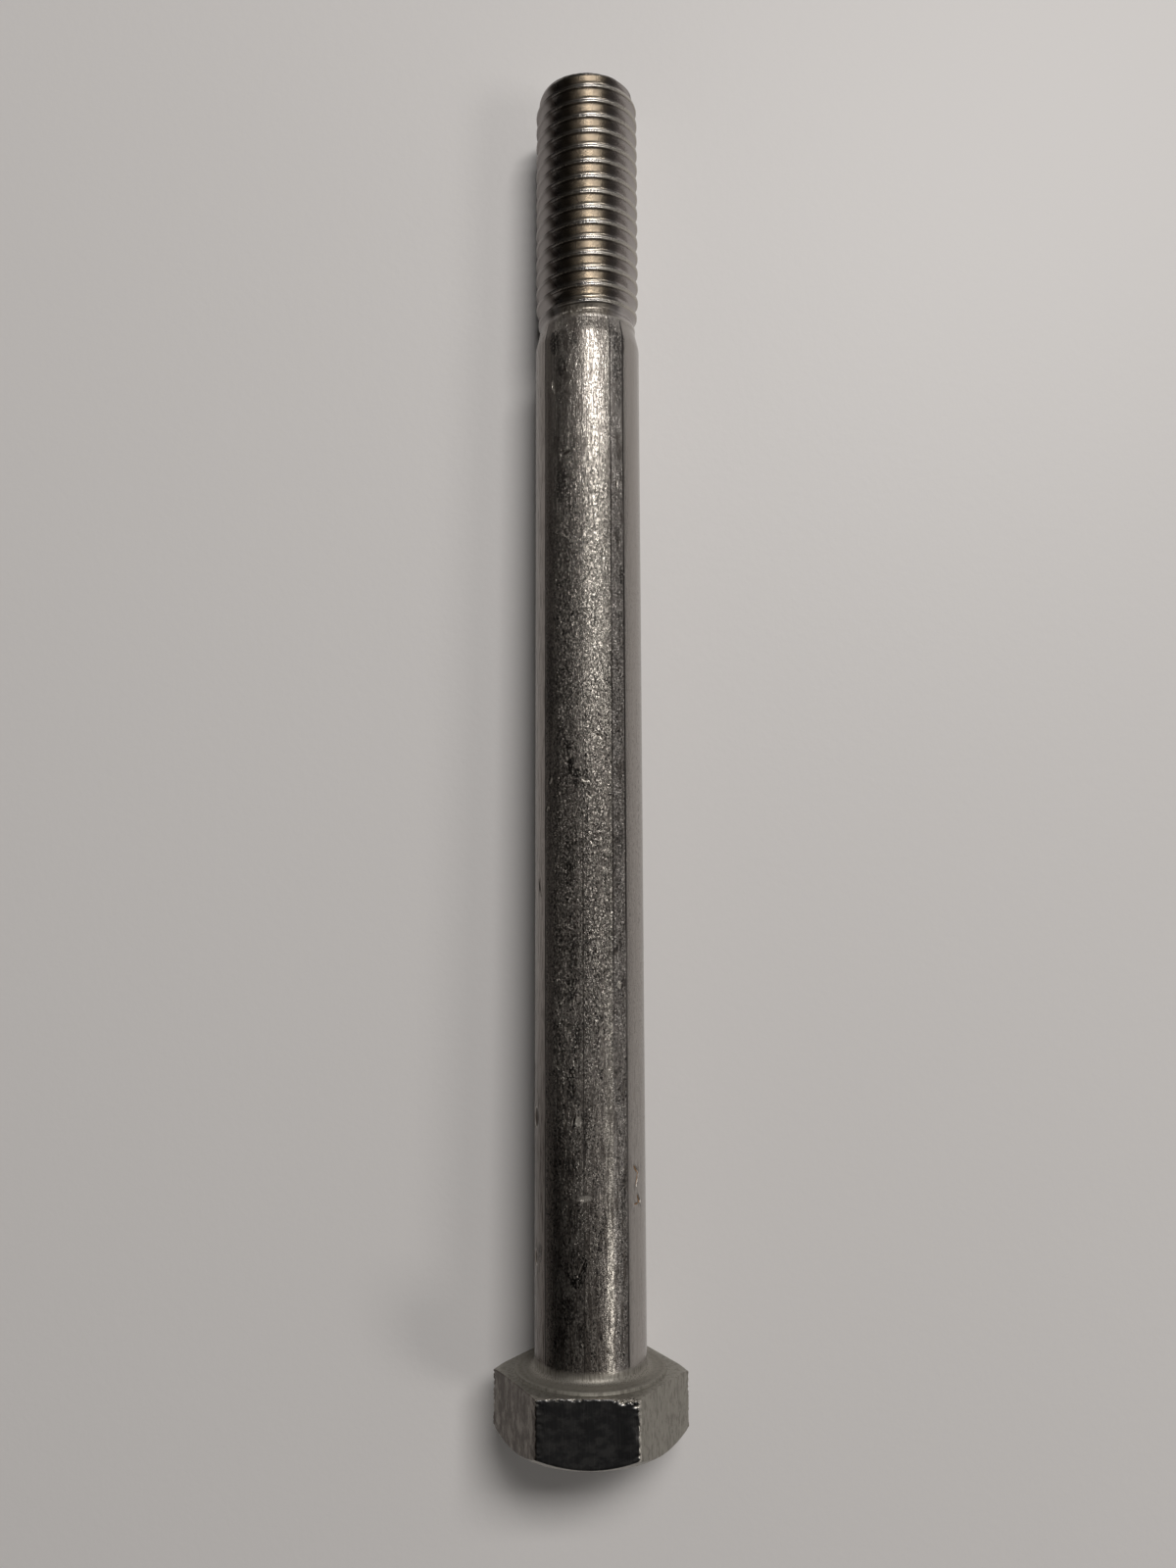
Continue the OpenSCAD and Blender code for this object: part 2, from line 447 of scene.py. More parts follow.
def markShank():
    dents = list(shankMarks["dents"]) + list(scatterDents())
    low, high = 0.9, shoulder["start"] - 1
    margin = shankMarks["margin"]
    wide = [(along, turned, length + margin, width + margin, depth, turn)
            for along, turned, length, width, depth, turn in dents]

    def marked(centre):
        if not low < centre.z < high:
            return False
        return any(markDistance(centre, mark) < shankMarks["reach"] for mark in wide)

    bpy.ops.object.mode_set(mode="EDIT")
    selectFaces(marked)
    bpy.ops.mesh.subdivide(number_cuts=shankMarks["refine"])

    def press(p):
        if not low - 0.1 < p.z < high + 0.1:
            return p
        radius = shankSize["radius"]
        for dent in dents:
            away = markDistance(p, dent)
            if away < 1:
                radius -= dent[4] * (1 - away * away) ** 1.5
            if away < shankMarks["rimEnd"]:
                beside = (away - shankMarks["rimPlace"]) / shankMarks["rimWidth"]
                radius += shankMarks["rim"] * dent[4] * math.exp(-beside ** 2)
        return scaled(p, min(radius, shankSize["radius"] + shankMarks["proudest"]), p.z)

    movePoints(press, onlySelected=False)
    bpy.ops.object.mode_set(mode="OBJECT")


# Wear on the head: the top flat's edge at the bearing side is nicked, and all corners are a little worn
headWear = {
    # middle across, half length, how far down the flat, how deep into it, in mm
    "nicks": (
        (4.1, 0.5, 0.26, 0.12), (3.25, 0.3, 0.3, 0.14), (2.35, 0.25, 0.16, 0.08), (1.5, 0.5, 0.24, 0.12),
        (0.72, 0.25, 0.3, 0.13), (-0.15, 0.5, 0.15, 0.09), (-1.3, 0.3, 0.14, 0.07), (-2.95, 0.35, 0.32, 0.14),
        (-3.75, 0.65, 0.62, 0.17), (-4.6, 0.5, 0.5, 0.14), (-5.2, 0.3, 0.35, 0.12),
    ),
    # how strong the wear is, and how far in from a corner or an edge it reaches in mm
    "cornerWear": 0.13,
    "cornerReach": 0.5,
    "edgeWear": 0.02,
    "edgeReach": 0.35,
    "refine": 2,
}


def wearHead():
    flat = headSize["acrossFlats"] / 2
    cornerReach, edgeReach = headWear["cornerReach"], headWear["edgeReach"]
    corner = flat / math.cos(math.radians(30)) - cornerReach
    top = -headSize["washerHeight"]
    bottom = -headSize["height"]
    bpy.ops.object.mode_set(mode="EDIT")
    selectFaces(lambda c: -flat - 0.01 < c.x < -flat + 0.3 and top - 0.9 < c.z < top - 0.01)
    bpy.ops.mesh.subdivide(number_cuts=headWear["refine"])
    selectFaces(lambda c: c.xy.length > corner and bottom + 0.2 < c.z < top - 0.05)
    bpy.ops.mesh.subdivide(number_cuts=headWear["refine"])

    def rub(p):
        x, y, z = p
        if bottom < z < top + 0.01 and p.xy.length > corner:
            worn = noise.noise(Vector((x, y, z * 3.1)) * 1.3) + 0.35
            factor = 1 - headWear["cornerWear"] * max(0, worn) * (p.xy.length - corner) / cornerReach / flat
            x, y = x * factor, y * factor
        beside = abs(z - top)
        if p.xy.length > flat - 0.15 and beside < edgeReach:
            lump = noise.noise(Vector((x * 1.7, y * 1.7, 4))) + 0.3
            z -= headWear["edgeWear"] * lump * (1 - beside / edgeReach)
        if x < -flat + 0.35 and z < top + 0.02:
            for across, half, down, deep in headWear["nicks"]:
                rough = 1 + 0.5 * noise.noise(Vector((y * 4.3, z * 4.3, 9)))
                away = math.hypot((y - across) / half, (top - z) / down / rough)
                if away < 1:
                    pressed = 1 - away ** 3
                    lump = noise.noise(Vector((y * 7.1, z * 9.3, 2)))
                    x += deep * pressed * (0.75 + lump)
                    z -= 0.3 * deep * pressed * (0.5 + lump)
        return (x, y, z)

    movePoints(rub, onlySelected=False)
    bpy.ops.object.mode_set(mode="OBJECT")


screw = drawHexagon()
growHeadSides()
growUnderside()
growShank()
print("stage: head and shank", len(screw.data.polygons))
thread, turns = drawProfile()
windThread(thread, turns)
closeTip()
print("stage: thread", len(thread.data.polygons))
joinThread(screw, thread)
markShank()
wearHead()
print("stage: marks and wear", len(screw.data.polygons))


# in degrees: edges sharper than this stay sharp
smoothAngle = 38


def finishScrew(screw):
    selectNothing()
    screw.select_set(True)
    bpy.context.view_layer.objects.active = screw
    screw.matrix_world = layDown @ Matrix.Scale(millimetre, 4)
    bpy.ops.object.transform_apply(location=True, rotation=True, scale=True)
    bpy.ops.object.shade_smooth_by_angle(angle=math.radians(smoothAngle))
    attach(screw, "root")
    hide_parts("hex_cap_screw")


finishScrew(screw)
check = bmesh.new()
check.from_mesh(screw.data)
print("stage: screw", len(check.faces), "triangles", sum(len(f.verts) - 2 for f in check.faces),
      "open edges", sum(1 for e in check.edges if not e.is_manifold), "volume mm3", check.calc_volume() * 1e9)
check.free()

camera = {
    "place": (-0.020554, -0.005522, 0.156597),
    "right": (-0.00415, -0.99926, -0.03815),
    "up": (0.99557, -0.00771, 0.09369),
    "back": (-0.09392, -0.03759, 0.99487),
    "sensor": 36,
    "lens": 28.93,
    "nearest": 0.01,
}
roomColour = (0.02, 0.0195, 0.019, 1)
paperSize = 4
lamps = {
    "window": {"towards": (0.592, -0.3, 1), "distance": 1.15, "size": (0.5, 0.25), "radiance": 20,
               "colour": (1, 0.975, 0.95)},
    "secondWindow": {"towards": (-0.4, -1, 1), "distance": 1.2, "size": (0.26, 0.3), "radiance": 6.6,
                     "colour": (1, 0.965, 0.92)},
    "sideWall": {"towards": (0.1, -1.9, 1), "distance": 1.3, "size": (0.9, 1.6), "radiance": 0.2,
                 "colour": (1, 0.98, 0.95)},
}


def addCamera():
    data = bpy.data.cameras.new("camera")
    data.sensor_width = camera["sensor"]
    data.lens = camera["lens"]
    data.clip_start = camera["nearest"]
    seen = bpy.data.objects.new("camera", data)
    bpy.context.scene.collection.objects.link(seen)
    turned = Matrix((camera["right"], camera["up"], camera["back"])).transposed()
    seen.matrix_world = Matrix.Translation(camera["place"]) @ turned.to_quaternion().to_matrix().to_4x4()
    bpy.context.scene.camera = seen


def addLamp(name, lamp):
    data = bpy.data.lights.new(name, "AREA")
    data.shape = "RECTANGLE"
    data.size, data.size_y = lamp["size"]
    data.energy = lamp["radiance"] * math.pi * lamp["size"][0] * lamp["size"][1]
    data.color = lamp["colour"]
    lit = bpy.data.objects.new(name, data)
    bpy.context.scene.collection.objects.link(lit)
    away = Vector(lamp["towards"]).normalized()
    # the lamp's width lies across the screw
    width = Vector((0, 1, 0))
    width = (width - away * width.dot(away)).normalized()
    height = away.cross(width)
    lit.matrix_world = Matrix.Translation(away * lamp["distance"]) @ Matrix(
        (width, height, away)).transposed().to_4x4()


addCamera()
for name, lamp in lamps.items():
    addLamp(name, lamp)

world = bpy.data.worlds.new("room")
bpy.context.scene.world = world
world.use_nodes = True
world.node_tree.nodes["Background"].inputs["Color"].default_value = roomColour

selectNothing()
bpy.ops.mesh.primitive_plane_add(size=paperSize, location=(0, 0, 0))
paper = bpy.context.object
paper.name = "paper"


class Wire:
    # one output of a node, with the arithmetic that the finishes use
    def __init__(self, shader, socket):
        self.shader = shader
        self.socket = socket

    def __add__(self, other):
        return self.shader.maths("ADD", self, other)

    def __sub__(self, other):
        return self.shader.maths("SUBTRACT", self, other)

    def __rsub__(self, other):
        return self.shader.maths("SUBTRACT", other, self)

    def __mul__(self, other):
        return self.shader.maths("MULTIPLY", self, other)

    __radd__ = __add__
    __rmul__ = __mul__


class Shader:
    def __init__(self, name):
        self.material = bpy.data.materials.new(name)
        self.material.use_nodes = True
        self.tree = self.material.node_tree
        self.tree.nodes.clear()

    def node(self, kind, settings, sockets, output=0):
        made = self.tree.nodes.new("ShaderNode" + kind)
        for name, value in settings.items():
            setattr(made, name, value)
        for name, value in sockets.items():
            if isinstance(value, Wire):
                self.tree.links.new(value.socket, made.inputs[name])
            else:
                made.inputs[name].default_value = value
        return Wire(self, made.outputs[output]) if made.outputs else None

    def maths(self, operation, first, second=0.0):
        return self.node("Math", {"operation": operation}, {0: first, 1: second})

    def strongest(self, first, *others):
        for other in others:
            first = self.maths("MAXIMUM", first, other)
        return first

    def apart(self, value, middle):
        return self.maths("ABSOLUTE", value - middle)

    def between(self, value, low, high):
        # 0 at low, 1 at high, and a soft step between them
        settings = {"interpolation_type": "SMOOTHSTEP"}
        return self.node("MapRange", settings, {"Value": value, "From Min": low, "From Max": high})

    def within(self, value, low, full, stillFull, high):
        # 1 from full to stillFull, and 0 below low and above high
        return self.between(value, low, full) * self.between(value, high, stillFull)

    def noise(self, place, fineness, detail=2.0, roughness=0.5, distortion=0.0):
        # fineness is one scale for all ways, or one for each axis
        if isinstance(fineness, tuple):
            place = self.node("VectorMath", {"operation": "MULTIPLY"}, {0: place, 1: fineness})
            fineness = 1
        sockets = {"Vector": place, "Scale": fineness, "Detail": detail, "Roughness": roughness,
                   "Distortion": distortion}
        return self.node("TexNoise", {}, sockets)

    def mixed(self, share, first, second):
        return self.node("Mix", {"data_type": "RGBA"}, {0: share, 6: first, 7: second}, 2)

    def finish(self, sockets):
        skin = self.node("BsdfPrincipled", {}, sockets)
        self.node("OutputMaterial", {}, {"Surface": skin})
        return self.material


steelLook = {
    "metal": (0.205, 0.184, 0.168, 1),
    "lightMetal": (0.48, 0.438, 0.395, 1),
    # the right side's colour, also laid on the band right of the highlight as painted light
    "rightSide": (0.4, 0.374, 0.352, 1),
    # painted shade: the bar's left side is painted darker than its right side
    "shadedLeftSide": (0.29, 0.265, 0.247, 1),
    "headMetal": (0.32, 0.305, 0.268, 1),
    # painted shade: the head's left flat, darker than the rest of the head
    "shadedLeftFlat": (0.14, 0.12, 0.103, 1),
    # the fillet's turned metal, painted lighter as a painted highlight
    "litFilletMetal": (0.37, 0.35, 0.31, 1),
    "crestMetal": (0.4, 0.38, 0.365, 1),
    # the thread's top, painted warmer than its sides as painted warm light from its grooves
    "warmLitGrooveMetal": (0.44, 0.394, 0.335, 1),
    "threadSide": (0.43, 0.402, 0.39, 1),
    # a painted reflection: the head's top flat painted near black, with paler streaks
    "shadedTopFlatDark": (0.1, 0.1, 0.102, 1),
    "shadedTopFlatPale": (0.21, 0.205, 0.2, 1),
    # this dark colour is used for real stains and also for painted shade on the bar, the thread and the head
    "stainAndShade": (0.07, 0.057, 0.048, 1),
    "black": (0.014, 0.012, 0.011, 1),
    "rust": (0.24, 0.14, 0.07, 1),
    # bare rubbed metal's colour, also used for painted highlights, glints and a painted reflection line
    "rub": (0.5, 0.47, 0.42, 1),
    "roughness": 0.2,
    # the depth of the relief, in metres
    "crinkle": 0.0002,
    "dashes": 0.00003,
    "drawn": 0.000013,
    "scored": 0.000015,
    "beaded": 0.00003,
    # noise: how fine it is across and along the bar, its detail, its roughness and its distortion
    "patterns": {
        "fineStreaks": ((7, 7, 0.35), 3, 0.6),
        "midStreaks": ((2.9, 2.9, 0.3), 3, 0.65),
        "wideStreaks": ((1.5, 1.5, 0.05), 3, 0.6),
        "patches": (0.22, 3, 0.55),
        "crinkle": ((3.5, 3.5, 2.6), 3, 0.62, 0.9),
        "grain": ((4.6, 4.6, 3.2), 2, 0.7),
        "dashes": ((6, 6, 1.2), 1, 0.5, 0.3),
        "specks": ((3.4, 3.4, 2.2), 2, 0.6),
        "stains": ((0.9, 0.9, 0.42), 4, 0.7),
        "worn": ((2.4, 2.4, 0.9), 4, 0.7),
        "flatCloud": ((0.7, 0.7, 1.1), 3, 0.6),
        "rings": ((9, 1, 1), 2, 0.6),
        "beads": ((5.5, 5.5, 1.5), 1, 0.5),
    },
    # where a finish starts and is full, and for four numbers where it fades out again:
    # mm from the bearing face, or degrees from the top with the right side positive
    "spans": {
        "head": (0.03, -0.03),
        "pastFillet": (0.7, 1.5),
        "fillet": (1.4, 0.7),
        "nearHead": (50, 22),
        "lastPart": (28, 10),
        "thread": (120.9, 121.9),
        "underside": (-128, -116),
        "middle": (24, 34, 56, 70),
        "darkAlong": (34, 46, 64, 80),
        "darkRound": (-48, -38, -12, -4),
        # spans of the painted highlights and of the painted reflection line
        "highlightAlong": (60, 84),
        "highlightRound": (-12, 4, 21, 25),
        "lowHighlightAlong": (50, 34),
        "lowHighlightRound": (16, 20, 27, 31),
        "reflectionLineAlong": (30, 45),
        "neckFilm": (98, 112),
        "patchedRound": (-48, -40, -8, 2),
        "threadTop": (-38, -26, 26, 36),
        "groove": (-20, -6, 14, 24),
        "threadHollow": (20, 30, 38, 50),
        "threadFilm": (4, 12, 20, 32),
    },
    # the bar's sides are smooth beyond these angles, and the right one is rough again past the next two
    "smoothSides": (-49.3, 43.7),
    "rightEnd": (116, 128),
    # straight lines along the bar, each a painted dark reflection also scored into the relief: degrees from
    # the top, half width in degrees, how dark each is, and the mm from the bearing face where it starts and
    # is full
    "scoredLinesAndDarkReflections": (
        (-49.8, 1.2, 0.9, -20, -6), (-4.4, 0.9, 0.3, 150, 140), (-4, 1, 0.6, 66, 54), (27.6, 1, 1, 28, 42),
        (43.5, 1.5, 1, -20, -6),
    ),
    # a painted reflection: a light line along the bar, in degrees from the top
    "reflectionLine": 24.9,
    # spots: mm from the bearing face, degrees from the top, length, width and strength
    "smudges": (
        (118.3, -36, 3, 1.5, 0.8), (118.2, -14, 1.4, 1.2, 0.7), (115.2, -27, 2.4, 1.3, 0.6),
        (118, 38.5, 3.4, 1.7, 0.75), (115, 37.5, 4, 1.5, 0.7), (111.5, 39.5, 3, 1, 0.6),
        (119.6, 30, 1.4, 1, 0.7), (69.4, -20, 1.6, 0.9, 0.9), (67.2, -17, 2.2, 1, 0.9),
        (65.8, -10, 2.4, 1, 0.95), (65, -2, 1.2, 0.9, 0.8), (56.2, -17, 4.4, 1.5, 0.8),
        (76.7, -42, 12, 1.3, 0.75), (100.2, -27, 4, 1.6, 0.6), (89.7, 40, 2.4, 0.8, 0.9),
        (94.8, 35, 2, 0.8, 0.7), (46.3, -14, 4, 1.6, 0.8), (41.6, -18, 2.6, 1.1, 0.85),
        (36.9, -10, 3, 1, 0.9), (32.6, -17, 1.8, 1.2, 1), (30.9, -16, 1.8, 1.1, 1),
        (22.8, -18, 1.8, 1.4, 0.85), (12.4, -4, 2.6, 0.7, 1), (10.7, -11, 1.6, 1.7, 1),
        (13.4, -15, 1.6, 1.2, 0.8), (7.4, -21, 3.4, 2, 0.85), (4.6, -27, 2.6, 1.6, 0.8),
        (5.2, -8, 2.4, 1, 0.7), (17, -14, 2.6, 1.6, 0.7), (19.2, 38, 5, 0.7, 0.8), (13, -61, 2, 1, 0.7),
        (58.4, 36, 4, 0.9, 0.8), (29.8, -10.8, 1, 0.9, 0.8), (26.6, -1.9, 5, 0.35, 0.9),
        (27.3, -13.8, 1.6, 0.4, 1), (28, -4.6, 1.2, 0.4, 0.9),
    ),
    "rubbed": (
        (27.6, -9.4, 1.2, 0.8, 0.85), (19.4, -3, 0.7, 1.7, 0.25), (45, 9, 0.7, 0.8, 0.6),
        (42.5, 34, 0.9, 0.5, 0.7), (104.5, -20, 1.3, 0.7, 0.5), (70.3, 9.6, 1, 1, 0.5),
        (67.7, -21.5, 1, 0.4, 0.7), (63.6, 3.3, 0.8, 0.6, 0.5), (92.2, 12.5, 1, 0.5, 0.4),
        (47, 10.8, 1, 0.4, 0.6), (55.3, 18.3, 0.9, 0.5, 0.6),
    ),
    "raggedness": 6,
}


def spotted(shader, spots, turned, z, rough):
    # spots with ragged edges, where the strongest one shows
    ragged = (rough - 0.5) * steelLook["raggedness"]
    total = 0
    for along, angle, length, width, strength in spots:
        down = (z - along) * (2 / length)
        over = (turned - angle) * (2 * math.radians(shankSize["radius"]) / width)
        spot = shader.between(down * down + over * over + ragged, 1.3, 0.5)
        total = shader.strongest(total, spot * strength)
    return total


def painted(shader, colour, *coats):
    # each coat is a share and the name of its colour
    for share, name in coats:
        colour = shader.mixed(share, colour, steelLook[name])
    return colour


def makeSteel():
    shader = Shader("wornSteel")
    between, within, apart, strongest = shader.between, shader.within, shader.apart, shader.strongest
    spans = steelLook["spans"]
    place = shader.node("TexCoord", {}, {}, "Object")
    # millimetres on the screw: x towards the ground, z along the screw from the bearing face
    sockets = {"Vector": place, "Location": bearingCentre, "Rotation": (0, math.pi / 2 + restTilt, 0),
               "Scale": (millimetre, millimetre, millimetre)}
    place = shader.node("Mapping", {"vector_type": "TEXTURE"}, sockets)
    x, y, z = (shader.node("SeparateXYZ", {}, {"Vector": place}, k) for k in range(3))
    radius = shader.maths("SQRT", x * x + y * y)
    turned = shader.maths("ARCTAN2", -1 * y, -1 * x) * math.degrees(1)

    def pattern(name, where=place):
        return shader.noise(where, *steelLook["patterns"][name])

    onHead = between(z, *spans["head"])
    onThread = between(z, *spans["thread"])
    onShank = between(z, *spans["pastFillet"]) * (1 - onThread)
    nearHead = between(z, *spans["nearHead"])
    lastPart = between(z, *spans["lastPart"])
    flat = headSize["acrossFlats"] / 2
    halfSide = flat * math.tan(math.radians(30))
    onTopFlat = onHead * between(-1 * x, flat - 0.12, flat - 0.05)
    onTopFlat = onTopFlat * between(apart(y, 0), halfSide, halfSide - 0.08)
    outwards = math.cos(math.radians(30)) * y - math.sin(math.radians(30)) * x
    onLeftFlat = onHead * between(outwards, flat - 0.12, flat - 0.03)
    tip = threadSize["tip"]
    tipFace = between(z, tip - 0.3, tip - 0.2) * between(radius, 5.05, 4.95)

    # streaks that the die left along the bar, and a fine crinkle from handling
    fineStreaks = pattern("fineStreaks")
    midStreaks = pattern("midStreaks")
    wideStreaks = pattern("wideStreaks")
    patches = pattern("patches")
    crinkle = pattern("crinkle")
    creases = apart(crinkle, 0.5)
    grain = pattern("grain")
    dashes = pattern("dashes")
    specks = pattern("specks")
    stains = pattern("stains")
    left, right = steelLook["smoothSides"]
    # the smooth side bands; the left one is painted darker, as painted shade
    rightSide = within(turned, right - 0.5, right + 0.3, *steelLook["rightEnd"])
    shadedLeftSide = within(turned, *spans["underside"], left - 0.3, left + 0.5)
    smoothSide = rightSide + shadedLeftSide
    roughPart = 1 - smoothSide
    notRight = 1 - rightSide

    # dark lines along the bar, which waver a little: painted dark reflections, also scored as shallow grooves
    line = turned + (patches - 0.5) * 0.8
    scoredLinesAndDarkReflections = 0
    for at, width, dark, none, full in steelLook["scoredLinesAndDarkReflections"]:
        drawn = between(apart(line, at), width, width * 0.4) * between(z, none, full)
        scoredLinesAndDarkReflections = scoredLinesAndDarkReflections + drawn * dark
    scoredLinesAndDarkReflections = scoredLinesAndDarkReflections * onShank * (0.5 + 0.5 * between(wideStreaks + 0.3 * fineStreaks, 0.5, 0.7))
    # a painted reflection: a light line along the bar
    reflectionLine = between(apart(line, steelLook["reflectionLine"]), 1.2, 0.6)
    reflectionLine = reflectionLine * between(z, *spans["reflectionLineAlong"]) * onShank

    # the dirt on the shank, darker towards the head, mixed with painted shade on the sides and dark lines of
    # painted reflection
    grime = specks * (0.5 - 0.25 * nearHead) + wideStreaks * 0.3 + fineStreaks * (0.2 + 0.25 * nearHead)
    grime = between(grime, 0.51, 0.6) * (1 - 0.6 * smoothSide) * between(z, 118, 60)
    mottled = between(specks, 0.46, 0.4) * roughPart * onShank
    mottled = mottled * (0.4 + 0.25 * between(turned, 24, 27)) * between(z, 112, 96)
    # darker left of the top, along the middle of the bar
    darkPart = within(z, *spans["darkAlong"]) * within(turned, *spans["darkRound"])
    darkPart = darkPart * (0.25 + 0.5 * between(specks, 0.53, 0.43)) * onShank
    bands = between(midStreaks * 0.75 + wideStreaks * 0.25, 0.49, 0.56) * nearHead * roughPart
    neckStreaks = between(midStreaks, 0.5, 0.57) * between(z, 92, 104) * roughPart
    # streaks on the left side, and painted shade on both sides near the head
    sideStreaksAndShade = shadedLeftSide * (between(fineStreaks, 0.5, 0.6) * 0.5 + 0.5 * nearHead) * onShank
    sideStreaksAndShade = sideStreaksAndShade + 0.12 * rightSide * nearHead
    # painted shade: a dark band just inside the left side
    shade = 0.75 * within(turned, left - 0.4, left, -42, -33) * onShank
    ends = 0.45 + 0.55 * between(z, 98, 108) + 0.55 * nearHead
    patched = between(stains, 0.52, 0.59) * ends * within(turned, *spans["patchedRound"])
    patched = strongest(patched, between(stains, 0.56, 0.62) * between(turned, 24, 27) * notRight)
    # dents are smooth inside, the shallow ones painted light as a painted highlight, and the deep ones hold
    # dirt
    bar = shankSize["radius"]
    pressed = onShank * between(z, 119, 118.8) * between(radius, bar - 0.01, bar - 0.03)
    deep = pressed * between(radius, bar - 0.05, bar - 0.085)
    dirtAndShade = strongest(0.7 * grime + 0.15 * nearHead, 0.95 * scoredLinesAndDarkReflections, mottled, 0.85 * bands, darkPart,
                     0.5 * neckStreaks, 0.75 * patched, sideStreaksAndShade + shade)
    dirtAndShade = strongest(dirtAndShade * (1 - 0.7 * pressed), 0.95 * deep) * onShank
    dirtAndShadeColour = shader.mixed(deep * rightSide, steelLook["stainAndShade"], steelLook["rust"])

    # the blackest specks, bare metal where something rubbed, and painted highlights and glints
    # a painted highlight along the top of the bar
    highlightBand = within(turned, *spans["highlightRound"]) * between(z, *spans["highlightAlong"])
    highlightBand = highlightBand * (1 - 0.8 * between(z, 100, 112))
    # a painted highlight on the right of the bar near the head
    lowHighlightBand = within(turned, *spans["lowHighlightRound"]) * between(z, *spans["lowHighlightAlong"])
    speckled = between(grain, 0.47, 0.4) * (0.3 + 0.55 * between(z, 104, 88)) * roughPart
    speckled = speckled * (0.65 + 0.75 * between(stains, 0.47, 0.57) * between(z, 96, 80))
    # painted shade: thin dark lines in the creases of the crinkle
    creaseShade = between(creases, 0.055, 0.015) * (0.2 + 0.5 * between(z, 112, 92)) * roughPart
    smudged = spotted(shader, steelLook["smudges"], turned, z, 0.65 * grain + 0.35 * specks)
    # the black: specks and smudges, with painted shade in the creases and the dark painted reflection lines
    sootAndShade = strongest(speckled, creaseShade) * (1 - 0.65 * lowHighlightBand) * (1 - 0.3 * highlightBand)
    sootAndShade = strongest(sootAndShade, 0.8 * scoredLinesAndDarkReflections) * (1 - 0.8 * pressed)
    sootAndShade = strongest(sootAndShade, smudged * between(grain, 0.6, 0.48))
    rubbed = spotted(shader, steelLook["rubbed"], turned, z, 0.4 * grain + 0.3)
    # rubbed spots, and the dents' painted highlight
    bright = strongest(rubbed, 0.6 * pressed * notRight * (1 - smudged)) * (1 - deep)
    # painted glints: bright flecks of bare-metal colour, more in the middle of the bar
    glints = between(grain, 0.52, 0.58) * (0.6 + 0.35 * within(z, *spans["middle"]))

    tone = between(wideStreaks * 0.6 + fineStreaks * 0.4, 0.35, 0.65)
    streaked = 0.7 + 0.3 * tone
    # the bar's colour: painted shade on the left side, painted highlights, glints and a light reflection line
    # on top, and the band right of the highlight painted light
    colour = painted(
        shader, shader.mixed(tone, steelLook["metal"], steelLook["lightMetal"]),
        (rightSide * streaked, "rightSide"),
        (shadedLeftSide * streaked, "shadedLeftSide"),
        (glints * roughPart, "rub"),
        (highlightBand * (0.3 + 0.6 * between(fineStreaks, 0.42, 0.58)), "rub"),
        (0.9 * reflectionLine, "rub"),
        (lowHighlightBand * (0.4 + 0.6 * between(grain, 0.42, 0.54)), "rub"),
        (0.85 * between(turned, 25, 28) * notRight, "rightSide"))
    colour = shader.mixed(dirtAndShade, colour, dirtAndShadeColour)
    # the washer face has fine rings from turning
    rings = pattern("rings", shader.node("CombineXYZ", {}, {"X": radius}))
    faceDirt = between(rings, 0.45, 0.6) * 0.35 + 0.4 * between(apart(radius, 7.95), 0.3, 0.1)
    faceDirt = faceDirt * between(radius, 6.9, 7.2)
    faceDirt = faceDirt + between(fineStreaks, 0.48, 0.6) * 0.5 * between(radius, 7.1, 6.8)
    # black specks and painted shade, rubbed spots and the dents' painted highlight, the fillet painted
    # lighter as a painted highlight, and the washer face's rings
    colour = painted(
        shader, colour,
        (sootAndShade * onShank, "black"),
        (bright, "rub"),
        (between(z, *spans["fillet"]), "litFilletMetal"),
        (faceDirt * between(z, 1.6, 0.8) * (1 - onHead), "stainAndShade"))

    # the head: light scratches and brown blotches, most of them on the left flat, which is also darkened as
    # painted shade, and the top flat painted dark as a painted reflection
    worn = pattern("worn")
    scratches = between(fineStreaks * 0.6 + worn * 0.4, 0.52, 0.6)
    blotches = between(worn, 0.5, 0.4)
    headColour = painted(
        shader, shader.mixed(onLeftFlat, steelLook["headMetal"], steelLook["shadedLeftFlat"]),
        (scratches * (0.3 - 0.06 * onLeftFlat), "rub"),
        (blotches * (0.35 + 0.5 * onLeftFlat), "stainAndShade"),
        (0.8 * onLeftFlat * between(stains, 0.5, 0.56), "stainAndShade"),
        (0.3 * onLeftFlat * between(stains, 0.46, 0.4), "rub"),
        (0.25 * onLeftFlat, "stainAndShade"))
    # the top flat's painted reflection: near black, with paler streaks
    flatTone = between(pattern("flatCloud"), 0.4, 0.64) * 0.7 + 0.3 * between(fineStreaks, 0.54, 0.64)
    shadedFlatColour = shader.mixed(flatTone, steelLook["shadedTopFlatDark"], steelLook["shadedTopFlatPale"])
    headColour = shader.mixed(onTopFlat, headColour, shadedFlatColour)
    # the top flat's long edges, worn beads with a painted highlight along one and painted shade along the
    # other, and chips along its edge at the bearing side
    byEdge = between(x, -9, -9.3)
    edgeBeadsAndHighlight = between(specks, 0.42, 0.56) * between(apart(y, -halfSide), 0.2, 0.1) * byEdge
    edgeShade = between(apart(y, halfSide), 0.2, 0.1) * byEdge
    chips = within(-1 * x, flat - 0.34, flat - 0.3, flat - 0.08, flat - 0.03)
    chips = chips * between(z, -1.3, -1.1) * between(apart(y, 0), halfSide + 0.1, halfSide)
    headColour = painted(
        shader, headColour,
        (edgeBeadsAndHighlight, "rub"),
        (0.8 * edgeShade, "stainAndShade"),
        (0.7 * chips, "rub"))
    colour = shader.mixed(onHead, colour, headColour)

